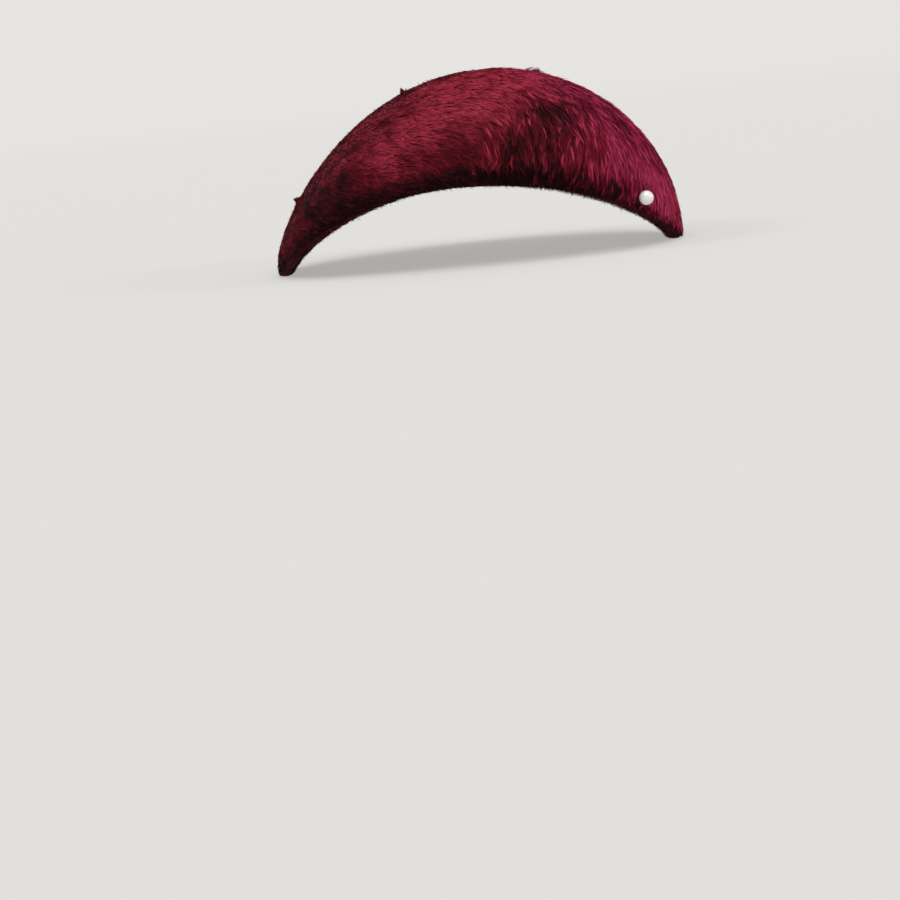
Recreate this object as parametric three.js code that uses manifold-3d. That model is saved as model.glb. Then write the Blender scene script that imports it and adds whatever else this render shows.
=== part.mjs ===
// A small oval hat of long-haired fur felt, blocked in one piece as a bubble crown.
// Its rim dips at the front and back ends, arches over the head between them, rolls
// under all round, and is turned up inside as a hem. A pearl-headed pin goes through
// the left side of the back end, and its shank lies in the hollow.
// Millimetres, +Z up. -X is the wearer's front and -Y the wearer's left.
import * as THREE from "three";
import { mergeVertices } from "three/addons/utils/BufferGeometryUtils.js";
import Module from "manifold-3d";

// Crown
const LENGTH = 130.8; // front to back, at the widest
const WIDTH = 113; // side to side, at the widest
const HEIGHT = 59.4; // the surface it stands on to the highest point
const APEX_BACK = 4.6; // how far the highest point lies behind the middle

// How full its outlines are: 2 is an ellipse, more is squarer and less is leaner.
const PLAN_FULLNESS = 2.2; // seen from above
const ACROSS_FULLNESS = 2.1; // seen from the front
const FRONT_FULLNESS = 1.4; // seen from the side, before the highest point
const BACK_FULLNESS = 1.97; // seen from the side, behind it

// Felt and rim
const WALL = 2; // thickness of the felt
const HEM_HEIGHT = 10; // how far the felt is turned up inside
const ROLL_RADIUS = 12; // of the rim where it rolls under
const ROLL_TURN = 46; // degrees that it turns under at the top of an arch
const END_ROLL_TURN = 20; // degrees that it turns under at the front and back ends
const SETTLE = 1.4; // how much of the two ends is pressed flat by standing on them
const ARCH_HEIGHT = 26.5; // of the rim's arch on the wearer's left
const RIGHT_ARCH = 0.85; // of that, the height of the arch on the right
const ARCH_FORWARD = 5; // how far the arches' tops lie before the middle
const ARCH_POWER = 0.72; // less than 1 makes the arches' shoulders fuller

// Pin
const PEARL_DIAMETER = 4.5;
const PEARL_BORE_DEPTH = 2.8;
const SHANK_DIAMETER = 0.7;
const SHANK_LENGTH = 30;
const POINT_LENGTH = 3; // the tapered tip of the shank
const PIN_AZIMUTH = 324; // where it goes in, in degrees round from the back end
const PIN_ABOVE_RIM = 4.8;
const PIN_ASIDE = 37; // degrees that it turns from the middle towards the back end
const PIN_RISE = 8; // degrees that it points up
const CLEARANCE = 0.3; // between the pin and what it goes through

// Mesh steps
const AROUND = 96;
const CROWN_STEPS = 12; // apex to the height of the hem's edge
const WAIST_STEPS = 3; // from there to the widest point
const ROLL_STEPS = 4;
const FOLD_STEPS = 5;
const PIN_SIDES = 12;
const PEARL_STEPS = 9;
const HALVINGS = 30;

const radians = THREE.MathUtils.degToRad;
const APEX = new THREE.Vector2(APEX_BACK, 0);

// How far x lies from a highest place, as a share of the way to the end on its side.
const shareToEnd = (x, peak) => (x - peak) / (LENGTH / 2 - Math.sign(x - peak) * peak);

// The rim's lowest height, the angle it turns under, and the height where it is widest.
function rimAt(x, y) {
  const arch = y < 0 ? ARCH_HEIGHT : ARCH_HEIGHT * RIGHT_ARCH;
  const rise = Math.max(1 - shareToEnd(x, -ARCH_FORWARD) ** 2, 0) ** ARCH_POWER;
  const roll = radians(THREE.MathUtils.lerp(END_ROLL_TURN, ROLL_TURN, rise));
  const rim = arch * rise - SETTLE;
  const waist = rim + WALL * (1 - Math.sin(roll)) + ROLL_RADIUS * Math.sin(roll);
  return { rim, roll, waist };
}

// The height of the crown's middle line, which runs from front to back.
function ridgeHeight(x) {
  const { waist } = rimAt(LENGTH / 2, 0);
  const fullness = x < APEX_BACK ? FRONT_FULLNESS : BACK_FULLNESS;
  const share = Math.max(1 - shareToEnd(x, APEX_BACK) ** 2, 0) ** (1 / fullness);
  return waist + (HEIGHT - waist) * share;
}

// The height of the outer surface inside the widest outline.
function crownHeight(x, y) {
  const along = Math.min(Math.abs(x) / (LENGTH / 2), 1) ** PLAN_FULLNESS;
  const halfWidth = Math.max((WIDTH / 2) * (1 - along) ** (1 / PLAN_FULLNESS), 1e-9);
  const across = Math.min(Math.abs(y) / halfWidth, 1) ** ACROSS_FULLNESS;
  const { waist } = rimAt(x, y);
  return waist + (ridgeHeight(x) - waist) * (1 - across) ** (1 / ACROSS_FULLNESS);
}

// An upright section from the apex to the widest outline, at an azimuth from the back end
// through the wearer's right. span is how far it reaches.
function sectionAt(azimuth) {
  const cos = Math.cos(radians(azimuth));
  const sin = Math.sin(radians(azimuth));
  const along = Math.abs(cos / (LENGTH / 2)) ** PLAN_FULLNESS;
  const across = Math.abs(sin / (WIDTH / 2)) ** PLAN_FULLNESS;
  const radius = (along + across) ** (-1 / PLAN_FULLNESS);
  const edge = new THREE.Vector2(radius * cos, radius * sin);
  const heading = edge.clone().sub(APEX);
  const span = heading.length();
  return { span, heading: heading.normalize(), ...rimAt(edge.x, edge.y) };
}

// A point of the outer surface above the waist, as (distance from the apex's axis, height).
function crownPoint(section, angle) {
  const out = section.span * Math.cos(angle);
  const { x, y } = section.heading.clone().multiplyScalar(out).add(APEX);
  return new THREE.Vector2(out, crownHeight(x, y));
}

function rollPoint(section, angle) {
  return new THREE.Vector2(
    section.span - ROLL_RADIUS * (1 - Math.cos(angle)),
    section.waist - ROLL_RADIUS * Math.sin(angle),
  );
}

// The angle at which the crown reaches a height above the waist, found by halving.
function crownAngle(section, height) {
  let low = 0.01;
  let high = Math.PI / 2;
  for (let i = 0; i < HALVINGS; i++) {
    const middle = (low + high) / 2;
    if (crownPoint(section, middle).y < height) low = middle;
    else high = middle;
  }
  return high;
}

const steps = (from, to, count) =>
  Array.from({ length: count }, (_, i) => THREE.MathUtils.lerp(from, to, i / count));

// Each outer point of a section with the normal that points into the felt.
function outerLine(section, angles, pointAt) {
  const nudge = 1e-4;
  return angles.map((angle) => {
    const point = pointAt(section, angle);
    const before = pointAt(section, angle - nudge);
    const along = pointAt(section, angle + nudge).sub(before).normalize();
    const normal = new THREE.Vector2(along.y, -along.x);
    if (normal.x > 0) normal.negate();
    return { point, normal };
  });
}

// The outline of the felt in a section, from the apex outside to the apex inside.
function feltOutline(section) {
  const hemAngle = crownAngle(section, section.rim + HEM_HEIGHT);
  const crownAngles = steps(Math.PI / 2, hemAngle, CROWN_STEPS).slice(1);
  const rollAngles = [...steps(0, section.roll, ROLL_STEPS), section.roll];
  const crown = outerLine(section, crownAngles, crownPoint);
  const waist = outerLine(section, steps(hemAngle, 0, WAIST_STEPS), crownPoint);
  const roll = outerLine(section, rollAngles, rollPoint);
  const inside = ({ point, normal }, depth) => point.clone().addScaledVector(normal, depth);

  const end = roll[roll.length - 1];
  const centre = inside(end, WALL);
  const onward = new THREE.Vector2(-Math.sin(section.roll), -Math.cos(section.roll));
  const fold = steps(0, Math.PI, FOLD_STEPS)
    .slice(1)
    .map((angle) =>
      centre
        .clone()
        .addScaledVector(end.normal, -WALL * Math.cos(angle))
        .addScaledVector(onward, WALL * Math.sin(angle)),
    );

  const hem = [...waist, ...roll].reverse().map((at) => inside(at, 2 * WALL));
  const lining = [waist[0], ...crown.slice().reverse()].map((at) => inside(at, WALL));
  const outside = [...crown, ...waist, ...roll].map(({ point }) => point);
  return [...outside, ...fold, ...hem, ...lining];
}

// A section's point in space, with nothing under the surface that the hat stands on.
function place({ heading }, { x: out, y: height }) {
  const { x, y } = heading.clone().multiplyScalar(out).add(APEX);
  return new THREE.Vector3(x, y, Math.max(height, 0));
}

function crownGeometry() {
  const positions = [];
  const rows = Array.from({ length: AROUND }, (_, i) => {
    const section = sectionAt((360 * i) / AROUND);
    return feltOutline(section).map((point) => place(section, point));
  });
  const top = new THREE.Vector3(APEX_BACK, 0, HEIGHT);
  const under = new THREE.Vector3(APEX_BACK, 0, HEIGHT - WALL);
  const triangle = (...corners) => corners.forEach((c) => positions.push(c.x, c.y, c.z));
  rows.forEach((row, i) => {
    const next = rows[(i + 1) % AROUND];
    triangle(top, row[0], next[0]);
    for (let j = 0; j + 1 < row.length; j++) {
      triangle(row[j], row[j + 1], next[j]);
      triangle(next[j], row[j + 1], next[j + 1]);
    }
    triangle(under, next[next.length - 1], row[row.length - 1]);
  });
  return new THREE.BufferGeometry().setAttribute(
    "position",
    new THREE.Float32BufferAttribute(positions, 3),
  );
}

// A point of the outer surface at an azimuth and a height above the rim.
function surfacePoint(azimuth, aboveRim) {
  const section = sectionAt(azimuth);
  const height = section.rim + aboveRim;
  const belowWaist = section.waist - height;
  const point =
    belowWaist > 0
      ? rollPoint(section, Math.asin(belowWaist / ROLL_RADIUS))
      : crownPoint(section, crownAngle(section, height));
  return place(section, point);
}

// Where the pin goes in, which way it points, and how far out its pearl's middle lies.
function pinSeat() {
  const entry = surfacePoint(PIN_AZIMUTH, PIN_ABOVE_RIM);
  const round = surfacePoint(PIN_AZIMUTH + 1, PIN_ABOVE_RIM).sub(entry);
  const up = surfacePoint(PIN_AZIMUTH, PIN_ABOVE_RIM + 1).sub(entry);
  const outward = round.cross(up).normalize();
  const heading = radians(PIN_AZIMUTH + 180 - PIN_ASIDE);
  const level = Math.cos(radians(PIN_RISE));
  const direction = new THREE.Vector3(
    level * Math.cos(heading),
    level * Math.sin(heading),
    Math.sin(radians(PIN_RISE)),
  );
  const standOff = (PEARL_DIAMETER / 2 + CLEARANCE) / -outward.dot(direction);
  return { entry, direction, standOff };
}

function pearlGeometry() {
  const radius = PEARL_DIAMETER / 2;
  const bore = SHANK_DIAMETER / 2 + CLEARANCE;
  const mouth = Math.asin(bore / radius);
  const ball = steps(mouth, Math.PI, PEARL_STEPS).map(
    (angle) => new THREE.Vector2(radius * Math.sin(angle), radius * Math.cos(angle)),
  );
  const floor = radius - PEARL_BORE_DEPTH;
  const profile = [new THREE.Vector2(0, -radius), ...ball.reverse()];
  profile.push(new THREE.Vector2(bore, floor), new THREE.Vector2(0, floor));
  return new THREE.LatheGeometry(profile, PIN_SIDES + 4);
}

// The shank along +Y, from its blunt end in the pearl to its point.
function shankGeometry() {
  const radius = SHANK_DIAMETER / 2;
  return new THREE.LatheGeometry(
    [
      new THREE.Vector2(0, 0),
      new THREE.Vector2(radius, 0),
      new THREE.Vector2(radius, SHANK_LENGTH - POINT_LENGTH),
      new THREE.Vector2(0, SHANK_LENGTH),
    ],
    PIN_SIDES,
  );
}

function toManifold(wasm, geometry) {
  const bare = geometry.clone();
  bare.deleteAttribute("normal");
  bare.deleteAttribute("uv");
  const merged = mergeVertices(bare, 1e-4);
  return new wasm.Manifold(
    new wasm.Mesh({
      numProp: 3,
      vertProperties: merged.attributes.position.array,
      triVerts: new Uint32Array(merged.index.array),
    }),
  );
}

function fromManifold(solid) {
  const mesh = solid.getMesh();
  const geometry = new THREE.BufferGeometry()
    .setAttribute("position", new THREE.BufferAttribute(mesh.vertProperties, 3))
    .setIndex(new THREE.BufferAttribute(mesh.triVerts, 1));
  geometry.computeVertexNormals();
  return geometry;
}

const wasm = await Module();
wasm.setup();

const seat = pinSeat();
const pin = new THREE.Group();
pin.position.copy(seat.entry).addScaledVector(seat.direction, -seat.standOff);
pin.quaternion.setFromUnitVectors(new THREE.Vector3(0, 1, 0), seat.direction);
pin.updateMatrix();

const steel = new THREE.MeshStandardMaterial({ color: 0xb9bbbe, roughness: 0.3, metalness: 1 });
const pearly = new THREE.MeshStandardMaterial({ color: 0xece3dc, roughness: 0.2 });
const felt = new THREE.MeshStandardMaterial({ color: 0x6f1426, roughness: 0.85 });

const pearl = new THREE.Mesh(pearlGeometry(), pearly);
pearl.name = "pin_pearl";
const shank = new THREE.Mesh(shankGeometry(), steel);
shank.name = "pin_shank";
shank.position.y = PEARL_DIAMETER / 2 - PEARL_BORE_DEPTH + CLEARANCE;
pin.add(pearl, shank);

// The hole that the shank makes in the felt and its hem.
const hole = new THREE.CylinderGeometry(
  SHANK_DIAMETER / 2 + CLEARANCE,
  SHANK_DIAMETER / 2 + CLEARANCE,
  SHANK_LENGTH,
  PIN_SIDES,
)
  .translate(0, SHANK_LENGTH / 2, 0)
  .applyMatrix4(pin.matrix);
const pierced = toManifold(wasm, crownGeometry()).subtract(toManifold(wasm, hole));
const crown = new THREE.Mesh(fromManifold(pierced), felt);
crown.name = "felt_crown";

const hat = new THREE.Group();
hat.add(crown, pin);

export default hat;
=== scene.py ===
"""A small hat of long-haired dark red fur felt with a pearl-headed pin, resting on a pale floor.

The felt is one dense shell with the form of the model's crown, and its nap is 156,000
hairs combed over it. Lengths are in millimetres until they go into Blender, unless named _m.
"""

import math

import bpy
import numpy as np
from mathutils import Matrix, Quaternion, Vector, kdtree, noise
from mathutils.bvhtree import BVHTree


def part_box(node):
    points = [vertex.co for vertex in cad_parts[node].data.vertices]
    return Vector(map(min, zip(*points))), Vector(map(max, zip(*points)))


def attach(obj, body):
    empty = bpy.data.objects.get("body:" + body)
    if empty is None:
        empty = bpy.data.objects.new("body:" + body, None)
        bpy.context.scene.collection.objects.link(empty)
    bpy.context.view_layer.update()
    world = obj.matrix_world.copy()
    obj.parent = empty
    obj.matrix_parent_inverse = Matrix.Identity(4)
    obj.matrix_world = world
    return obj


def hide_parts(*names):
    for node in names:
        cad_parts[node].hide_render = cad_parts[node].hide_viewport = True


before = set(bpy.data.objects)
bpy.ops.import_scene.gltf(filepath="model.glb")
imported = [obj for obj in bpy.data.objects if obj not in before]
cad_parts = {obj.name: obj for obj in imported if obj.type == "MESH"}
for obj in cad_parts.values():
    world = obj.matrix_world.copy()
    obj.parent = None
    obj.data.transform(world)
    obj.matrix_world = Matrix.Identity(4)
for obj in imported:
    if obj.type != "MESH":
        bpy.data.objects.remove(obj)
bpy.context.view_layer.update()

rng = np.random.default_rng(27)
MM = 0.001
TINY = 1e-12  # least length that is divided by

# Form of the felt, the same as in the model's source
low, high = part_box("felt_crown")
HALF_LENGTH = (high.x - low.x) / 2 / MM
HALF_WIDTH = (high.y - low.y) / 2 / MM
HEIGHT = high.z / MM
APEX_X = 4.6
LEAST_HALF_WIDTH = 1e-9  # of the crown, at its very ends
PLAN_FULLNESS = 2.2
ACROSS_FULLNESS = 2.1
FRONT_FULLNESS = 1.4
BACK_FULLNESS = 1.97
WALL = 2.0
NAP_DEPTH = 0.9  # how far the felt under the nap lies inside the model's surface
HEM_HEIGHT = 10.0
HEM_EDGE_DEPTHS = np.array([1.75, 1.3])  # where the hem's rounded edge lies, in walls
HEM_EDGE_RISES = np.array([0.45, 0.75])
ROLL_RADIUS = 12.0
ROLL_TURN = math.radians(46)
END_ROLL_TURN = math.radians(20)
SETTLE = 1.4
ARCH_HEIGHT = 26.5
RIGHT_ARCH = 0.85
ARCH_X = -5.0
ARCH_POWER = 0.72

# The camera, set so that the hat fills the same part of the picture as in the photo
CAMERA_TARGET_MM = (0, 0, 28)
CAMERA_DISTANCE_MM = 800
CAMERA_ELEVATION = math.radians(2.5)
CAMERA_ROLL = math.radians(5.63)
LENS_MM = 99
SENSOR_MM = 36
PICTURE_PX = 900
TARGET_PX = (471.8, 168.1)


def share_to_end(x, peak):
    """How far x is from the peak, as a share of the way to the end on its side."""
    return (x - peak) / (HALF_LENGTH - np.sign(x - peak) * peak)


def rim_at(x, y):
    """The rim's lowest height, the angle it rolls under and the height where it is widest."""
    arch = ARCH_HEIGHT * np.where(y < 0, 1.0, RIGHT_ARCH)
    rise = np.maximum(1 - share_to_end(x, ARCH_X) ** 2, 0) ** ARCH_POWER
    roll = END_ROLL_TURN + (ROLL_TURN - END_ROLL_TURN) * rise
    rim = arch * rise - SETTLE
    waist = rim + WALL * (1 - np.sin(roll)) + ROLL_RADIUS * np.sin(roll)
    return rim, roll, waist


def crown_height(x, y):
    """The height of the crown's outer surface above each point of its plan."""
    fullness = np.where(x < APEX_X, FRONT_FULLNESS, BACK_FULLNESS)
    end_waist = rim_at(np.array(HALF_LENGTH), np.array(0.0))[2]
    share = np.maximum(1 - share_to_end(x, APEX_X) ** 2, 0) ** (1 / fullness)
    ridge = end_waist + (HEIGHT - end_waist) * share
    along = np.minimum(np.abs(x) / HALF_LENGTH, 1) ** PLAN_FULLNESS
    half_width = np.maximum(HALF_WIDTH * (1 - along) ** (1 / PLAN_FULLNESS), LEAST_HALF_WIDTH)
    across = np.minimum(np.abs(y) / half_width, 1) ** ACROSS_FULLNESS
    waist = rim_at(x, y)[2]
    return waist + (ridge - waist) * (1 - across) ** (1 / ACROSS_FULLNESS)


def section_grid(around, crown_steps, roll_steps, fold_steps):
    """The felt's outline in each upright section round the hat, and what each row of it is."""
    azimuth = np.linspace(0, 2 * np.pi, around, endpoint=False)[:, None]
    cos, sin = np.cos(azimuth), np.sin(azimuth)
    reach = (
        np.abs(cos / HALF_LENGTH) ** PLAN_FULLNESS + np.abs(sin / HALF_WIDTH) ** PLAN_FULLNESS
    ) ** (-1 / PLAN_FULLNESS)
    edge_x, edge_y = reach * cos, reach * sin
    span = np.hypot(edge_x - APEX_X, edge_y)
    head_x, head_y = (edge_x - APEX_X) / span, edge_y / span
    rim, roll, waist = rim_at(edge_x, edge_y)

    def crown(angle):
        out = span * np.cos(angle)
        return out, crown_height(APEX_X + head_x * out, head_y * out)

    def rolled(angle):
        return (
            span - ROLL_RADIUS * (1 - np.cos(angle)),
            waist - ROLL_RADIUS * np.sin(angle),
        )

    def with_normals(curve, angle):
        out, height = curve(angle)
        nudge = 1e-4
        before, after = curve(angle - nudge), curve(angle + nudge)
        d_out, d_height = after[0] - before[0], after[1] - before[1]
        length = np.hypot(d_out, d_height)
        n_out, n_height = d_height / length, -d_out / length
        flip = np.where(n_out > 0, -1, 1)
        return np.stack([out, height, n_out * flip, n_height * flip], -1)

    # The angle where the hem ends, found by halving
    hem_low, hem_high = np.full_like(span, 0.01), np.full_like(span, np.pi / 2)
    for _ in range(30):
        middle = (hem_low + hem_high) / 2
        below = crown(middle)[1] < rim + HEM_HEIGHT
        hem_low = np.where(below, middle, hem_low)
        hem_high = np.where(below, hem_high, middle)
    hem_angle = hem_high
    down = np.linspace(0, 1, crown_steps, endpoint=False)[None, 1:]
    top = with_normals(crown, np.pi / 2 + (hem_angle - np.pi / 2) * down)
    waist_steps = crown_steps // 5
    near = np.linspace(1, 0, waist_steps, endpoint=False)[None, :]
    side = with_normals(crown, hem_angle * near)
    under = with_normals(rolled, roll * np.linspace(0, 1, roll_steps)[None, :])

    outer = np.concatenate([top, side, under], 1)
    inset = np.full(outer.shape[1], NAP_DEPTH)
    inset[-roll_steps:] = np.linspace(NAP_DEPTH, 0, roll_steps)
    felt_line = outer[..., :2] + inset[None, :, None] * outer[..., 2:]
    end = under[:, -1:, :]
    turn = np.linspace(0, np.pi, fold_steps)[None, 1:-1]
    fold_out = end[..., 0] + WALL * (
        end[..., 2] * (1 - np.cos(turn)) - np.sin(roll) * np.sin(turn)
    )
    fold_height = end[..., 1] + WALL * (
        end[..., 3] * (1 - np.cos(turn)) - np.cos(roll) * np.sin(turn)
    )
    fold = np.stack([fold_out, fold_height], -1)
    hem_rows = np.concatenate([side, under], 1)[:, ::-1]
    hem = hem_rows[..., :2] + 2 * WALL * hem_rows[..., 2:]
    rounded = side[:, :1, :2] + WALL * side[:, :1, 2:] * HEM_EDGE_DEPTHS[None, :, None]
    rounded[..., 1] += HEM_EDGE_RISES
    lining = np.concatenate([side[:, :1], top[:, ::-1]], 1)
    lining = lining[..., :2] + WALL * lining[..., 2:]
    rows = np.concatenate([felt_line, fold, hem, rounded, lining], 1)
    points = np.stack(
        [
            APEX_X + head_x * rows[..., 0],
            head_y * rows[..., 0],
            np.maximum(rows[..., 1], 0),
        ],
        -1,
    )
    parts = (outer, fold, hem, rounded, lining)
    return points, [part.shape[1] for part in parts]


def grid_faces(around, rows):
    i = np.arange(around)[:, None]
    j = np.arange(rows - 1)[None, :]
    here, beside = i * rows + j, (i + 1) % around * rows + j
    return np.stack([here, here + 1, beside + 1, beside], -1).reshape(-1, 4)


def link(name, data, *materials):
    obj = bpy.data.objects.new(name, data)
    bpy.context.scene.collection.objects.link(obj)
    for one in materials:
        data.materials.append(one)
    return obj


def mesh_from(name, points, faces, uv=None):
    """A smooth mesh from arrays: points in millimetres, and a uv pair for each face corner."""
    mesh = bpy.data.meshes.new(name)
    corners = faces.shape[1]
    mesh.vertices.add(len(points))
    mesh.vertices.foreach_set("co", (points * MM).astype(np.float32).ravel())
    mesh.loops.add(faces.size)
    mesh.loops.foreach_set("vertex_index", faces.astype(np.int32).ravel())
    mesh.polygons.add(len(faces))
    mesh.polygons.foreach_set("loop_start", np.arange(0, faces.size, corners, dtype=np.int32))
    mesh.polygons.foreach_set("use_smooth", np.ones(len(faces), bool))
    if uv is not None:
        layer = mesh.uv_layers.new(name="OFBake")
        layer.data.foreach_set("uv", uv.astype(np.float32).ravel())
    mesh.update(calc_edges=True)
    mesh.validate()
    return mesh


# Materials

# The hair's map: u is its tone, within TONE_LIMITS, and v goes by TIP_V from root to tip. It
# starts at 0 for warm red hair and at COOL_V for hair with a cooler, pinker painted sheen.
TONE_LIMITS = (0.02, 0.97)
MAP_WIDTH = 0.008
TIP_V = 0.2
COOL_V = 0.5


def material(name):
    made = bpy.data.materials.new(name)
    made.use_nodes = True
    tree = made.node_tree
    return made, tree, tree.nodes["Principled BSDF"]


def ramp(tree, stops):
    node = tree.nodes.new("ShaderNodeValToRGB")
    elements = node.color_ramp.elements
    while len(elements) < len(stops):
        elements.new(0.5)
    for element, (at, colour) in zip(elements, stops):
        element.position = at
        element.color = (*colour, 1)
    return node


def noise_node(tree, scale, detail, roughness=0.6):
    node = tree.nodes.new("ShaderNodeTexNoise")
    node.inputs["Scale"].default_value = scale
    node.inputs["Detail"].default_value = detail
    node.inputs["Roughness"].default_value = roughness
    coordinates = tree.nodes.new("ShaderNodeTexCoord")
    tree.links.new(coordinates.outputs["Object"], node.inputs["Vector"])
    return node


def felt_material(name, dark, light, roughness):
    made, tree, shader = material(name)
    grain = noise_node(tree, 900, 6, 0.7)
    patches = noise_node(tree, 60, 3)
    mix = tree.nodes.new("ShaderNodeMath")
    mix.operation = "MULTIPLY_ADD"
    tree.links.new(patches.outputs["Fac"], mix.inputs[0])
    mix.inputs[1].default_value = 0.5
    tree.links.new(grain.outputs["Fac"], mix.inputs[2])
    colours = ramp(tree, [(0.45, dark), (0.95, light)])
    tree.links.new(mix.outputs[0], colours.inputs["Fac"])
    tree.links.new(colours.outputs["Color"], shader.inputs["Base Color"])
    bump = tree.nodes.new("ShaderNodeBump")
    bump.inputs["Strength"].default_value = 0.6
    bump.inputs["Distance"].default_value = 0.0003
    tree.links.new(grain.outputs["Fac"], bump.inputs["Height"])
    tree.links.new(bump.outputs["Normal"], shader.inputs["Normal"])
    shader.inputs["Roughness"].default_value = roughness
    shader.inputs["Specular IOR Level"].default_value = 0.08
    shader.inputs["Sheen Weight"].default_value = 0.05
    shader.inputs["Sheen Roughness"].default_value = 0.5
    shader.inputs["Sheen Tint"].default_value = (0.9, 0.3, 0.4, 1)
    return made


def mixed(tree, blend, factor, a, b):
    """The colour output of a mix of two others. factor is a number or an output."""
    node = tree.nodes.new("ShaderNodeMix")
    node.data_type = "RGBA"
    node.blend_type = blend
    if isinstance(factor, (int, float)):
        node.inputs["Factor"].default_value = factor
    else:
        tree.links.new(factor, node.inputs["Factor"])
    tree.links.new(a, node.inputs["A"])
    tree.links.new(b, node.inputs["B"])
    return node.outputs["Result"]


def number(tree, operation, value, other):
    node = tree.nodes.new("ShaderNodeMath")
    node.operation = operation
    tree.links.new(value, node.inputs[0])
    node.inputs[1].default_value = other
    return node.outputs[0]


def hair_material():
    made, tree, shader = material("nap_hair")
    uv = tree.nodes.new("ShaderNodeUVMap")
    uv.uv_map = "OFBake"
    split = tree.nodes.new("ShaderNodeSeparateXYZ")
    tree.links.new(uv.outputs["UV"], split.inputs["Vector"])
    u, v = split.outputs["X"], split.outputs["Y"]
    # The near-black darkest stops are there for the painted shade at the rim
    darkest = [(0, (0.007, 0.004, 0.004)), (0.14, (0.026, 0.0075, 0.0075))]
    warm = ramp(tree, [*darkest, (0.5, (0.205, 0.0115, 0.024)), (1, (0.55, 0.048, 0.09))])
    # The cooler, pinker ramp is painted sheen
    cool_sheen_ramp = ramp(tree, [*darkest, (0.5, (0.215, 0.0078, 0.033)), (1, (0.60, 0.052, 0.135))])
    tree.links.new(u, warm.inputs["Fac"])
    tree.links.new(u, cool_sheen_ramp.inputs["Fac"])
    is_cool_sheen = number(tree, "GREATER_THAN", v, COOL_V - 0.1)
    tone = mixed(tree, "MIX", is_cool_sheen, warm.outputs["Color"], cool_sheen_ramp.outputs["Color"])
    # Painted shade at the roots: each hair is darker near its root, where the nap covers it
    along = ramp(tree, [(0.0, (0.42, 0.48, 0.45)), (0.15, (1, 1, 1))])
    tree.links.new(number(tree, "MODULO", v, COOL_V), along.inputs["Fac"])
    base = mixed(tree, "MULTIPLY", 1, tone, along.outputs["Color"])
    tree.links.new(base, shader.inputs["Base Color"])
    shader.inputs["Roughness"].default_value = 0.55
    shader.inputs["Specular IOR Level"].default_value = 0.05
    shader.inputs["Specular Tint"].default_value = (1.0, 0.4, 0.5, 1)
    return made


def pearl_material():
    made, tree, shader = material("pearl_nacre")
    facing = tree.nodes.new("ShaderNodeLayerWeight")
    facing.inputs["Blend"].default_value = 0.5
    cloud = noise_node(tree, 700, 3)
    # Painted shade: the nacre is lighter where it faces the view and greyer towards its outline
    painted_edge_shade_colours = [
        (0.0, (0.86, 0.83, 0.81)),
        (0.5, (0.78, 0.72, 0.71)),
        (1, (0.42, 0.39, 0.40)),
    ]
    colours = ramp(tree, painted_edge_shade_colours)
    tree.links.new(facing.outputs["Facing"], colours.inputs["Fac"])
    base = mixed(tree, "SOFT_LIGHT", 0.8, colours.outputs["Color"], cloud.outputs["Color"])
    tree.links.new(base, shader.inputs["Base Color"])
    shader.inputs["Roughness"].default_value = 0.18
    shader.inputs["Coat Weight"].default_value = 1
    shader.inputs["Coat Roughness"].default_value = 0.12
    shader.inputs["Subsurface Weight"].default_value = 0.15
    shader.inputs["Subsurface Radius"].default_value = (0.4, 0.35, 0.3)
    shader.inputs["Subsurface Scale"].default_value = 0.001
    return made


def steel_material():
    made, tree, shader = material("pin_wire")
    drawn = noise_node(tree, 4000, 2)
    rough = tree.nodes.new("ShaderNodeMapRange")
    rough.inputs["To Min"].default_value = 0.18
    rough.inputs["To Max"].default_value = 0.34
    tree.links.new(drawn.outputs["Fac"], rough.inputs["Value"])
    tree.links.new(rough.outputs["Result"], shader.inputs["Roughness"])
    shader.inputs["Base Color"].default_value = (0.62, 0.62, 0.63, 1)
    shader.inputs["Metallic"].default_value = 1
    return made


def thread_material():
    made, tree, shader = material("hem_thread")
    twist = noise_node(tree, 2500, 2)
    colours = ramp(tree, [(0.35, (0.22, 0.03, 0.055)), (0.7, (0.42, 0.07, 0.12))])
    tree.links.new(twist.outputs["Fac"], colours.inputs["Fac"])
    tree.links.new(colours.outputs["Color"], shader.inputs["Base Color"])
    shader.inputs["Roughness"].default_value = 0.5
    return made


# The outside felt is darker than the inside: painted shade under the nap, between the hairs' roots
shaded_outside_felt = felt_material("felt_outside_shaded", (0.035, 0.0035, 0.007), (0.085, 0.008, 0.016), 0.9)
inside_felt = felt_material("felt_inside", (0.075, 0.007, 0.013), (0.15, 0.014, 0.027), 0.85)
hair = hair_material()
pearl_nacre = pearl_material()
pin_wire = steel_material()
thread = thread_material()

# The felt

AROUND = 300
CROWN_STEPS = 46
ROLL_STEPS = 12
FOLD_STEPS = 10
LAP_ROWS = 3  # how far the inside's felt reaches back over the fold, and the fuzz over the rim

points, counts = section_grid(AROUND, CROWN_STEPS, ROLL_STEPS, FOLD_STEPS)
rows = points.shape[1]
outer_rows = counts[0] + counts[1]
flat_points = points.reshape(-1, 3)
faces = grid_faces(AROUND, rows)
top = np.array([[APEX_X, 0, HEIGHT - NAP_DEPTH], [APEX_X, 0, HEIGHT - WALL]])
shell_points = np.concatenate([flat_points, top])
ring = np.arange(AROUND)
after = (ring + 1) % AROUND
cap = np.stack([np.full(AROUND, len(flat_points)), ring * rows, after * rows], 1)
under_cap = np.stack(
    [np.full(AROUND, len(flat_points) + 1), after * rows + rows - 1, ring * rows + rows - 1], 1
)
tris = np.concatenate([faces[:, [0, 1, 2]], faces[:, [0, 2, 3]], cap, under_cap])
row_of_face = np.tile(np.arange(rows - 1), AROUND)
inside = row_of_face >= outer_rows - LAP_ROWS
is_inside = np.concatenate([inside, inside, np.zeros(AROUND, bool), np.ones(AROUND, bool)])
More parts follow.
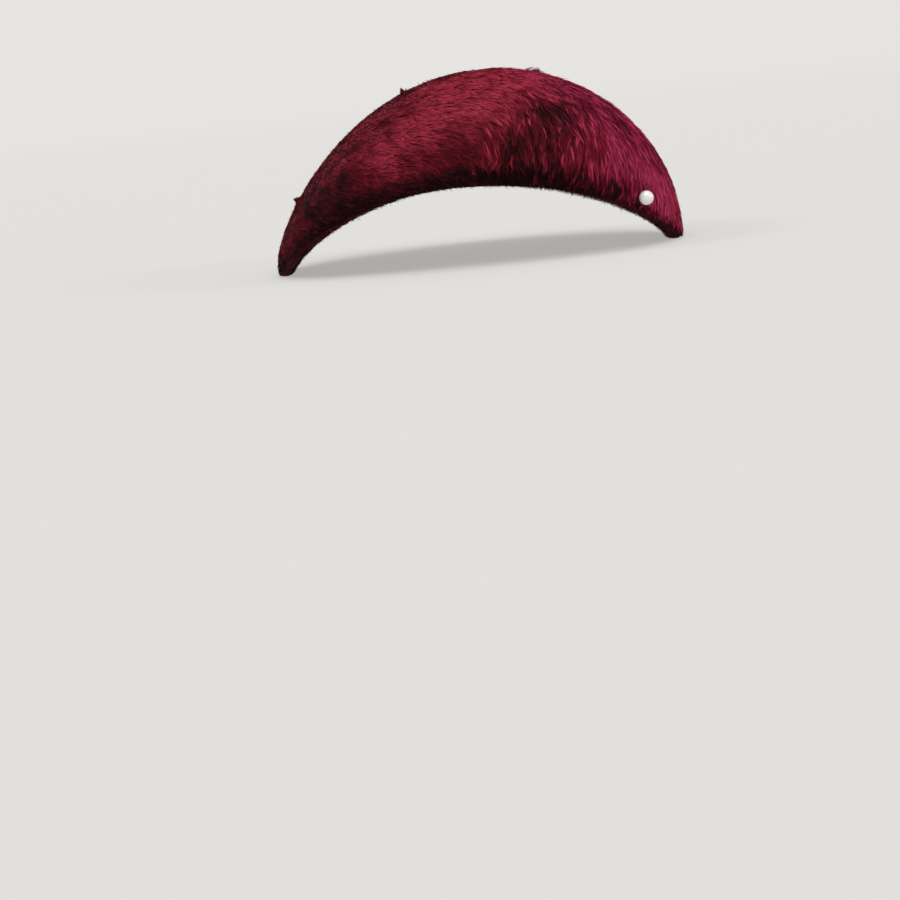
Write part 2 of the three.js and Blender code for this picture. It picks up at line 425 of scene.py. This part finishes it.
hem = (row_of_face >= counts[0] - LAP_ROWS) & (row_of_face < outer_rows + counts[2] + 1)
is_hem = np.concatenate([hem, hem, np.zeros(2 * AROUND, bool)])
shell_mesh = mesh_from("felt_shell", shell_points, tris)
shell = link("felt_shell", shell_mesh, shaded_outside_felt, inside_felt)
shell_mesh.polygons.foreach_set("material_index", is_inside.astype(np.int32))
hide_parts("felt_crown")
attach(shell, "root")

# The nap

GUIDES = 21000  # locks of hair, each with a guide that its hairs follow
HAIRS_PER_PIECE = 39000
NAP_PIECES = ("nap_back", "nap_right", "nap_front", "nap_left")
SHORT_HAIR = 3.2  # where the nap lies level
LONG_HAIR = 5.8  # where it hangs
HANGING_SLOPES = (45, 76)  # where it starts to hang, and hangs fully
HAIR_WIDTH = 0.12
HAIR_TURN = math.radians(60)  # how far a flat hair is turned about itself
HAIR_TAPER = (0.8, 1, 0.5)  # its width at the root, at the next point and at the tip
STEPS = np.array([0.0, 0.3, 0.66, 1.0])  # a hair's points, as shares of its length
LIFT = 0.4  # of a lock's tip above the felt
LIFT_SPREAD = 0.35
RUFFLED_LIFT = 0.25
LEVEL_LIFT = 0.62  # share of the lift that is left where the nap lies level
BEND = 0.4
WAVE = (0.1, 0.4)  # how far a lock waves, and how much more where it hangs
WAVE_TURN = 6.5
HIGHLIGHT_LOCKS = 0.1  # share of the locks that carry a painted highlight and are more drawn together
LOCK_HIGHLIGHT_TONE = 0.42
OTHER_LOCK_TONE = -0.02
STRAYS = 0.05  # share of the hairs that leave their lock
BELOW_RIM = 0.35  # how far hair may hang below the rim
FLOOR_GAP = 0.08  # how far hair stays above the floor
PEARL_GAP = 0.15  # and from the pearl

# How the nap is brushed, by the azimuth from the back end: its slope below the level round the
# crown (in degrees) high on the crown and low by the rim, and the height where it changes.
BRUSHING = np.array(
    [
        # azimuth, high slope, low slope, height
        (0, 98, 100, 40),
        (40, 72, 86, 44),
        (80, 34, 72, 44),
        (115, 16, 40, 38),
        (150, 8, 16, 34),
        (190, 6, 10, 30),
        (235, 8, 14, 33),
        (254, 12, 34, 36),
        (270, 28, 80, 42),
        (290, 64, 97, 49),
        (315, 92, 105, 48),
        (340, 104, 106, 42),
        (360, 98, 100, 40),
    ]
)
BRUSHING_CHANGE = (-5, 4)  # where that change starts and ends, downwards from the height
BRUSHING_WAVES = (
    # size of the waves, seed, degrees
    (9, 1, 14),
    (2.4, 2, 16),
)

MEAN_TONE = 0.55
TONE_NOISE = (
    # size of the patches, seed, change
    (22, 5, 0.12),
    (7, 4, 0.13),
    (2.6, 7, 0.10),
)

# Painted sheen and shade: patches where the pile lies so that it catches or loses the light,
# painted lighter or darker
SHEEN_AND_SHADE_PATCHES = (
    # x, y, z, radius, change
    (-10, -49, 45, 20, 0.32),
    (6, -26, 55, 22, 0.29),
    (-36, -26, 41, 16, 0.21),
    (-24, -51, 36, 12, 0.29),
    (24, -43, 46, 9, -0.34),
    (31, -46, 38, 10, -0.10),
    (15, -54, 36, 11, -0.28),
    (0, -55, 35, 12, -0.24),
    (-19, -54, 31, 7, -0.10),
    (-14, -55, 31, 9, -0.12),
    (47, -40, 28, 12, 0.12),
    (59, -26, 14, 12, 0.60),
    (-59, -18, 12, 12, 0.16),
    (-38, -46, 27, 14, -0.22),
    (-50, -39, 21, 11, -0.06),
    (-54, -30, 26, 4, -0.24),
    (-47, -40, 28, 4, -0.26),
    (-41, -44, 26, 5, -0.20),
    (-57, -30, 17, 4, -0.22),
    (4, 46, 46, 20, 0.22),
    (-34, 42, 34, 14, -0.24),
    (34, 38, 38, 12, -0.20),
)

# By azimuth: where the painted shade band starts on the roll of the rim (0 where it is widest and
# 1 at the rim), how mottled the nap is, and the share of its hairs that get the pinker painted
# sheen.
SHADE_BAND_START = ((255, 0.15), (275, -0.1), (296, -0.45), (316, -0.45), (328, 0.2))
MOTTLED = ((180, 0), (195, 1), (238, 1), (255, 0))
PINK_SHEEN = ((0, 1), (50, 0), (278, 0), (318, 1), (360, 1))

# Painted shade: how much darker the nap is down the side of the crown, in the band on the roll and
# at the very rim
SIDE_SHADE = 0.11
BAND_SHADE = 0.36
RIM_SHADE = 0.22
MOTTLE_SHADE = 0.3
MOTTLE_LIGHT = 0.03

# Small places where the nap stands up
TUFTS = ((-55.7, -8.4, 23.3), (-19.1, -3.6, 53.8), (19.9, 0.3, 56.2))
TUFT_RADIUS = 1.3
TUFT_LIFT = 1.9
TUFT_SHORTER = 0.45
TUFT_SHADE = 0.04

corners = shell_points[tris]
face_normals = np.cross(corners[:, 1] - corners[:, 0], corners[:, 2] - corners[:, 0])
face_areas = np.linalg.norm(face_normals, axis=1) / 2
face_normals /= np.maximum(face_areas * 2, TINY)[:, None]
face_normals *= np.sign((face_normals[:, 2] * face_areas)[~is_inside].sum())
surface = BVHTree.FromPolygons(shell_points.tolist(), tris[~is_inside].tolist())


def scatter(faces_used, count):
    """Points spread evenly over some faces of the felt, with their normals."""
    share = face_areas * faces_used
    face = rng.choice(len(tris), count, p=share / share.sum())
    a, b = rng.random(count), rng.random(count)
    over = a + b > 1
    a[over], b[over] = 1 - a[over], 1 - b[over]
    c = corners[face]
    at = c[:, 0] + (c[:, 1] - c[:, 0]) * a[:, None] + (c[:, 2] - c[:, 0]) * b[:, None]
    return at, face_normals[face]


def unit(v):
    return v / np.maximum(np.linalg.norm(v, axis=-1, keepdims=True), TINY)


def field(at, scale, seed):
    """Smooth noise from about -1 to 1 at each point, scale being the size of its patches."""
    offset = Vector((seed * 17.3, seed * 5.1, seed * 9.7))
    return np.array([noise.noise(Vector(p) / scale + offset) for p in at]) * 1.6


def smooth_step(value, start, end):
    share = np.clip((value - start) / (end - start), 0, 1)
    return share * share * (3 - 2 * share)


def azimuth_of(at):
    return np.degrees(np.arctan2(at[:, 1], at[:, 0] - APEX_X)) % 360


def by_azimuth(at, table):
    return np.interp(azimuth_of(at), *np.array(table).T)


def brushed(at, normal):
    """The way the nap lies, and its slope: round the crown from the front, and downwards."""
    azimuth = azimuth_of(at)
    high_slope, low_slope, height = (np.interp(azimuth, BRUSHING[:, 0], c) for c in BRUSHING.T[1:])
    height += 3 * field(at, 14, 6)
    change = smooth_step(height - at[:, 2], *BRUSHING_CHANGE)
    slope = high_slope + (low_slope - high_slope) * change
    around = np.radians(azimuth)
    ring = np.stack([-np.sin(around), np.cos(around), np.zeros(len(at))], 1)
    ring = unit(ring - normal * (ring * normal).sum(1, keepdims=True))
    down = np.cross(ring, normal)
    down *= np.where(down[:, 2:] > 0, -1, 1)
    turn = slope
    for size, seed, degrees in BRUSHING_WAVES:
        turn = turn + degrees * field(at, size, seed)
    turn = np.radians(turn)[:, None]
    return unit(ring * np.cos(turn) + down * np.sin(turn)), slope


def nearest(at):
    found = [surface.find_nearest(Vector(p)) for p in at]
    return np.array([f[0] for f in found])


def under_share(at):
    """How far down the roll of the rim each point is: 0 where it is widest and 1 at the rim."""
    rim, _, waist = rim_at(at[:, 0], at[:, 1])
    return (waist - at[:, 2]) / (waist - rim)


def tufted(at):
    """How much the nap stands up at each point, from 0 to 1."""
    share = np.zeros(len(at))
    for place in TUFTS:
        share += np.exp(-((at - place) ** 2).sum(1) / TUFT_RADIUS**2)
    return np.minimum(share, 1)


def nap_tone(at):
    """How light the nap is at each point, from 0 to 1: patches of its pile with painted sheen and
    shade, and painted shade down to the rim.
    """
    tone = np.full(len(at), MEAN_TONE)
    for size, seed, change in TONE_NOISE:
        tone += change * field(at, size, seed)
    for x, y, z, radius, change in SHEEN_AND_SHADE_PATCHES:
        far = ((at - (x, y, z)) ** 2).sum(1)
        tone += change * np.exp(-far / radius**2)
    under = under_share(at)
    # Painted shade down the roll of the rim, darkest at the rim itself
    band = smooth_step(under - by_azimuth(at, SHADE_BAND_START), 0, 0.5)
    tone -= SIDE_SHADE * smooth_step(under, -1.4, 0)
    tone -= BAND_SHADE * band + RIM_SHADE * smooth_step(under, 0.65, 0.95)
    mottled = by_azimuth(at, MOTTLED)
    blotches = field(at, 4.5, 12) + 0.35 * field(at, 1.6, 13)
    tone -= MOTTLE_SHADE * mottled * smooth_step(blotches, -0.05, 0.8)
    return tone + MOTTLE_LIGHT * mottled - TUFT_SHADE * tufted(at)


# The guides

guide_at, guide_normal = scatter(~is_inside, GUIDES)
guide_way, guide_slope = brushed(guide_at, guide_normal)
guide_side = np.cross(guide_normal, guide_way)
guide_under = under_share(guide_at)
guide_tuft = tufted(guide_at)
hanging = smooth_step(guide_slope, *HANGING_SLOPES)

at_rim = smooth_step(guide_under, -0.1, 0.3)
guide_length = SHORT_HAIR + (LONG_HAIR - SHORT_HAIR) * hanging
guide_length *= (0.8 + 0.4 * rng.random(GUIDES)) * (1 - 0.45 * at_rim)
guide_length *= 1 - TUFT_SHORTER * guide_tuft

guide_lift = LIFT + LIFT_SPREAD * rng.random(GUIDES)
guide_lift += RUFFLED_LIFT * np.maximum(field(guide_at, 3, 3), 0)
guide_lift *= LEVEL_LIFT + (1 - LEVEL_LIFT) * hanging
guide_lift += TUFT_LIFT * guide_tuft

guide_tone = nap_tone(guide_at) + (0.05 + 0.04 * hanging) * rng.standard_normal(GUIDES)
# Painted highlights: a share of the locks are made lighter
highlight_lock = rng.random(GUIDES) < HIGHLIGHT_LOCKS
guide_tone += (0.15 + 0.85 * hanging) * np.where(highlight_lock, LOCK_HIGHLIGHT_TONE, OTHER_LOCK_TONE)
guide_lift += 0.3 * hanging * highlight_lock

guide_bend = BEND * rng.standard_normal(GUIDES)
guide_wave = (WAVE[0] + WAVE[1] * hanging) * (1 + field(guide_at, 6, 9))
guide_phase = 2.5 * field(guide_at, 4, 11) + 0.5 * rng.standard_normal(GUIDES)
above_waist = smooth_step(-guide_under, -0.1, 0.15)

guide_path = []
for step in STEPS:
    straight = guide_at + guide_way * (guide_length * step)[:, None]
    waved = guide_wave * np.sqrt(step) * np.sin(guide_phase + WAVE_TURN * step)
    straight += guide_side * (guide_bend * step**2 + waved)[:, None]
    on_felt = nearest(straight) if step else guide_at
    free = 0.2 + 0.6 * hanging * above_waist * (under_share(on_felt) > 0)
    hug = on_felt + (straight - on_felt) * free[:, None]
    height = guide_lift * (1 - (1 - step) ** 2.2) * (1 - 0.25 * step)
    guide_path.append(hug + guide_normal * height[:, None])
guide_path = np.stack(guide_path, 1)

guide_tree = kdtree.KDTree(GUIDES)
for index, at in enumerate(guide_at):
    guide_tree.insert(Vector(at), index)
guide_tree.balance()


def guide_near(places):
    return np.array([guide_tree.find(Vector(p))[1] for p in places])


# The hairs, each of which follows its guide and draws in towards it

count = HAIRS_PER_PIECE * len(NAP_PIECES)
root_at, root_normal = scatter(~is_inside, count)
guide_of = guide_near(root_at)
offset = root_at - guide_at[guide_of]
hair_hanging = hanging[guide_of]
stray = rng.random(count) < STRAYS
gather = np.where(stray, 0.1, 0.26 + 0.3 * rng.random(count) + 0.34 * hair_hanging)
gather = np.where(highlight_lock[guide_of], 0.6 + 0.33 * hair_hanging, gather)
gather = np.maximum(gather, 0.85 * guide_tuft[guide_of])
path = guide_path[guide_of]
reach = np.where(stray, 1.0, 0.8 + 0.3 * rng.random(count))
path = path[:, :1] + (path - path[:, :1]) * reach[:, None, None]
path = path + offset[:, None] * (1 - gather[:, None] * STEPS**1.3)[..., None]
jitter = rng.standard_normal((count, 3)) * np.where(stray, 0.4, 0.1)[:, None]
path = path + jitter[:, None] * (STEPS**1.5)[None, :, None]
path += root_normal[:, None] * (0.12 * rng.random(count)[:, None] * STEPS)[..., None]
lowest = rim_at(path[..., 0], path[..., 1])[0] - BELOW_RIM
path[..., 2] = np.maximum(path[..., 2], np.maximum(lowest, FLOOR_GAP))

pearl_low, pearl_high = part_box("pin_pearl")
pearl_centre = np.array((pearl_low + pearl_high) / 2) / MM
pearl_radius = (pearl_high.x - pearl_low.x) / 2 / MM
from_pearl = path - pearl_centre
distance = np.linalg.norm(from_pearl, axis=-1, keepdims=True)
path = pearl_centre + from_pearl * np.maximum((pearl_radius + PEARL_GAP) / distance, 1)

tone = guide_tone[guide_of] + (0.04 + 0.04 * hair_hanging) * rng.standard_normal(count)
# Hairs with the pinker painted sheen, mostly at the right end
pink_sheen_hairs = rng.random(count) < by_azimuth(root_at, PINK_SHEEN)


def hair_piece(name, path, normal, tone, pink_sheen):
    """A piece of flat tapering hairs. path holds each hair's points from root to tip."""
    hairs, stops = path.shape[:2]
    along = unit(np.gradient(path, axis=1))
    across = unit(np.cross(along, normal[:, None]))
    up = np.cross(across, along)
    turn = rng.uniform(-HAIR_TURN, HAIR_TURN, hairs)[:, None, None]
    across = across * np.cos(turn) + up * np.sin(turn)
    width = HAIR_WIDTH * rng.uniform(0.7, 1.3, hairs)
    half = width[:, None] / 2 * np.interp(np.arange(stops - 1), (0, 1, stops), HAIR_TAPER)
    sides = [path[:, :-1] + across[:, :-1] * half[..., None] * side for side in (-1, 1)]
    pairs = np.stack(sides, 2).reshape(hairs, -1, 3)
    each = 2 * stops - 1
    strip = [(k, k + 1, k + 3, k + 3, k + 2, k) for k in range(0, each - 3, 2)]
    pattern = np.array([*np.array(strip).ravel(), each - 3, each - 2, each - 1]).reshape(-1, 3)
    corners_of = (pattern[None] + each * np.arange(hairs)[:, None, None]).reshape(-1, 3)
    u = np.clip(tone, *TONE_LIMITS)[:, None] + MAP_WIDTH * np.array([*[0, 1] * (stops - 1), 0.5])
    v = COOL_V * pink_sheen[:, None] + TIP_V * np.repeat(np.linspace(0, 1, stops), 2)[:each]
    uv = np.stack([u, v], -1).reshape(-1, 2)[corners_of].reshape(-1, 2)
    points_of = np.concatenate([pairs, path[:, -1:]], 1).reshape(-1, 3)
    piece = link(name, mesh_from(name, points_of, corners_of, uv), hair)
    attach(piece, "root")


order = np.argsort((np.arctan2(root_at[:, 1], root_at[:, 0]) + np.pi / 4) % (2 * np.pi))
for index, name in enumerate(NAP_PIECES):
    mine = order[index * HAIRS_PER_PIECE : (index + 1) * HAIRS_PER_PIECE]
    hair_piece(name, path[mine], root_normal[mine], tone[mine], pink_sheen_hairs[mine])

# Short fuzz on the rim's fold and on the hem inside it

FUZZ_HAIRS = 30000
FUZZ_LENGTHS = (1.2, 2.2)
# Painted shade: the fuzz on the fold and hem, under the rim, is dark
SHADED_FUZZ_TONE = 0.18
WISPS = 0.012  # share of the fuzz that stands out as light wisps
WISP_TONE = 0.55

fuzz_root, fuzz_normal = scatter(is_hem, FUZZ_HAIRS)
fuzz_way = brushed(fuzz_root, fuzz_normal)[0] + 0.45 * rng.standard_normal((FUZZ_HAIRS, 3))
fuzz_way -= fuzz_normal * (fuzz_way * fuzz_normal).sum(1, keepdims=True)
fuzz_length = rng.uniform(*FUZZ_LENGTHS, FUZZ_HAIRS)[:, None, None]
fuzz_steps = np.array([0, 0.5, 1])[None, :, None]
fuzz_path = fuzz_root[:, None] + fuzz_length * fuzz_steps * unit(fuzz_way)[:, None]
wisp = rng.random(FUZZ_HAIRS) < WISPS
fuzz_path += (0.3 + 0.9 * wisp)[:, None, None] * np.sqrt(fuzz_steps) * fuzz_normal[:, None]
fuzz_path[..., 2] = np.maximum(fuzz_path[..., 2], FLOOR_GAP)
fuzz_tone = SHADED_FUZZ_TONE + 0.1 * field(fuzz_root, 4, 8) + 0.07 * rng.standard_normal(FUZZ_HAIRS)
fuzz_tone += WISP_TONE * wisp
hair_piece("hem_fuzz", fuzz_path, fuzz_normal, fuzz_tone, np.zeros(FUZZ_HAIRS))

# The stitches that hold the hem: each goes over its edge, from the hem to the felt behind it

STITCHES = 54
STITCH_UNEVENNESS = 0.12  # as a share of the distance between two stitches
THREAD_RADIUS = 0.2
THREAD_SIDES = 6
STITCH_ROUTE = np.array(
    [
        # inwards from the hem's edge, upwards, sideways
        (WALL - 0.1, -2.3, -0.8),
        (WALL + 0.2, -1.7, -0.6),
        (WALL + 0.2, -0.2, -0.2),
        (WALL * 0.6, 1.1, 0.2),
        (0.2, 1.7, 0.6),
        (-0.1, 2.4, 0.8),
    ]
)

hem_end = outer_rows + counts[2]
lining_start = hem_end + counts[3]
thread_turn = np.linspace(0, 2 * np.pi, THREAD_SIDES, endpoint=False)[None, :, None]
stitch_points, stitch_faces = [], []
for k in range(STITCHES):
    shift = rng.uniform(-STITCH_UNEVENNESS, STITCH_UNEVENNESS)
    i = round((k + shift) * AROUND / STITCHES) % AROUND
    edge = points[i, lining_start]
    inward = unit(points[i, hem_end - 1] - edge)
    upward = unit(points[i, lining_start + 1] - edge)
    sideways = np.cross(inward, upward)
    route = edge + STITCH_ROUTE @ np.stack([inward, upward, sideways])
    along = unit(np.gradient(route, axis=0))
    side_a = unit(np.cross(along, sideways + 0.01))
    side_b = np.cross(along, side_a)
    rings = route[:, None] + THREAD_RADIUS * (
        side_a[:, None] * np.cos(thread_turn) + side_b[:, None] * np.sin(thread_turn)
    )
    start = k * len(STITCH_ROUTE) * THREAD_SIDES
    stitch_points.append(rings.reshape(-1, 3))
    for ring_start in range(start, start + (len(STITCH_ROUTE) - 1) * THREAD_SIDES, THREAD_SIDES):
        for side in range(THREAD_SIDES):
            here, beside = ring_start + side, ring_start + (side + 1) % THREAD_SIDES
            stitch_faces.append((here, beside, beside + THREAD_SIDES, here + THREAD_SIDES))
stitches = link(
    "hem_stitches",
    mesh_from("hem_stitches", np.concatenate(stitch_points), np.array(stitch_faces)),
    thread,
)
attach(stitches, "root")

# The tips of the three little tufts, drawn together out of the nap

TUFT_TIPS = np.array([(-56.4, -8.5, 23.7), (-19.6, -3.7, 54.5), (23.0, 0.3, 56.3)])
TUFT_HAIRS = 90
TUFT_HEIGHT = 2.3  # above the felt
TUFT_REACH = 2.0
TUFT_GATHER = 0.75  # how far their tips draw in, as a share of the way
TUFT_LEAN = 0.8
TUFT_TONE = 0.4

tuft_centre = np.repeat(nearest(TUFT_TIPS), TUFT_HAIRS, 0)
tuft_guide = np.repeat(guide_near(TUFT_TIPS), TUFT_HAIRS)
tuft_normal, tuft_way = guide_normal[tuft_guide], guide_way[tuft_guide]
tuft_spread = TUFT_REACH * rng.uniform(-1, 1, (len(tuft_guide), 2)) * (1, 0.4)
tuft_root = nearest(
    tuft_centre + tuft_spread[:, :1] * tuft_way + tuft_spread[:, 1:] * guide_side[tuft_guide]
)
tuft_height = TUFT_HEIGHT * rng.uniform(0.55, 1, len(tuft_guide))
tuft_steps = STEPS[None, :, None]
tuft_in = TUFT_GATHER * (tuft_centre - tuft_root)[:, None] * tuft_steps**1.3
tuft_path = tuft_root[:, None] + tuft_in
tuft_path += (tuft_height[:, None] * tuft_normal)[:, None] * tuft_steps
tuft_path += TUFT_LEAN * tuft_way[:, None] * tuft_steps**2
tuft_tone = TUFT_TONE + 0.12 * rng.standard_normal(len(tuft_guide))
hair_piece("nap_tufts", tuft_path, tuft_normal, tuft_tone, np.ones(len(tuft_guide)))

# The pin

PEARL_SEGMENTS = 64
bpy.ops.mesh.primitive_uv_sphere_add(
    segments=PEARL_SEGMENTS,
    ring_count=PEARL_SEGMENTS // 2,
    radius=pearl_radius * MM,
    location=pearl_centre * MM,
)
pearl = bpy.context.object
pearl.name = "pearl_bead"
pearl.data.materials.append(pearl_nacre)
pearl.data.shade_smooth()
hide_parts("pin_pearl")
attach(pearl, "root")

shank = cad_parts["pin_shank"]
shank.data.materials.clear()
shank.data.materials.append(pin_wire)

# The floor, light and camera

FLOOR_RADIUS_M = 2.4
INNER_RADIUS_M = 0.3  # of the floor's first ring
WALL_BEND_M = 0.9
BEND_STEPS = 20
SIDES = 96
PAPER_GLOW = 0.40
SKY_STRENGTH = 0.42
CLIP_M = (0.01, 20)

profile = [(INNER_RADIUS_M, 0.0), (FLOOR_RADIUS_M, 0.0)]
profile += [
    (FLOOR_RADIUS_M + WALL_BEND_M * math.sin(a), WALL_BEND_M * (1 - math.cos(a)))
    for a in np.linspace(0, math.pi / 2, BEND_STEPS)[1:]
]
ring_turn = np.linspace(0, 2 * math.pi, SIDES, endpoint=False)
sweep_points = [(0, 0, 0)] + [
    (r * math.cos(a), r * math.sin(a), z) for r, z in profile for a in ring_turn
]
sweep_faces = [(0, 1 + i, 1 + (i + 1) % SIDES) for i in range(SIDES)]
sweep_faces += [
    (
        1 + row * SIDES + i,
        1 + (row + 1) * SIDES + i,
        1 + (row + 1) * SIDES + (i + 1) % SIDES,
        1 + row * SIDES + (i + 1) % SIDES,
    )
    for row in range(len(profile) - 1)
    for i in range(SIDES)
]
sweep_mesh = bpy.data.meshes.new("studio_sweep")
sweep_mesh.from_pydata(sweep_points, [], sweep_faces)
sweep_mesh.shade_smooth()
paper, _, paper_shader = material("studio_paper")
paper_shader.inputs["Base Color"].default_value = (0.31, 0.307, 0.299, 1)
paper_shader.inputs["Roughness"].default_value = 0.9
paper_shader.inputs["Specular IOR Level"].default_value = 0
paper_shader.inputs["Emission Color"].default_value = (1, 0.99, 0.965, 1)
paper_shader.inputs["Emission Strength"].default_value = PAPER_GLOW
sweep = link("studio_sweep", sweep_mesh, paper)
sweep.visible_shadow = False

world = bpy.data.worlds.new("studio")
bpy.context.scene.world = world
world.use_nodes = True
sky = world.node_tree.nodes["Background"]
sky.inputs["Color"].default_value = (0.96, 0.97, 1.0, 1)
sky.inputs["Strength"].default_value = SKY_STRENGTH


def far_light(name, towards, softness_degrees, strength, colour):
    """A soft light from far away. towards points from the hat to it."""
    data = bpy.data.lights.new(name, "SUN")
    data.angle = math.radians(softness_degrees)
    data.energy = strength
    data.color = colour
    obj = link(name, data)
    obj.rotation_euler = (-Vector(towards)).to_track_quat("-Z", "Y").to_euler()


far_light("key_light", (0.05, -0.32, 0.85), 60, 1.9, (1.0, 0.98, 0.96))
far_light("right_light", (0.9, -0.3, 0.4), 14, 0.6, (0.9, 0.88, 1.0))
far_light("left_light", (-0.7, -0.2, 0.6), 14, 0.55, (1.0, 0.97, 0.94))

camera_data = bpy.data.cameras.new("camera")
camera_data.lens = LENS_MM
camera_data.sensor_width = SENSOR_MM
camera = link("camera", camera_data)
back = Vector((0, -math.cos(CAMERA_ELEVATION), math.sin(CAMERA_ELEVATION)))
target = Vector(CAMERA_TARGET_MM)
camera.location = (target + back * CAMERA_DISTANCE_MM) * MM
looking = (-back).to_track_quat("-Z", "Y") @ Quaternion((0, 0, 1), -CAMERA_ROLL)
focal_px = LENS_MM / SENSOR_MM * PICTURE_PX
aim = Vector(
    (
        (TARGET_PX[0] - PICTURE_PX / 2) / focal_px,
        (PICTURE_PX / 2 - TARGET_PX[1]) / focal_px,
        -1,
    )
)
camera.rotation_mode = "QUATERNION"
camera.rotation_quaternion = looking @ Vector((0, 0, -1)).rotation_difference(aim).inverted()
camera_data.clip_start, camera_data.clip_end = CLIP_M
bpy.context.scene.camera = camera
bpy.context.scene.view_settings.view_transform = "Standard"
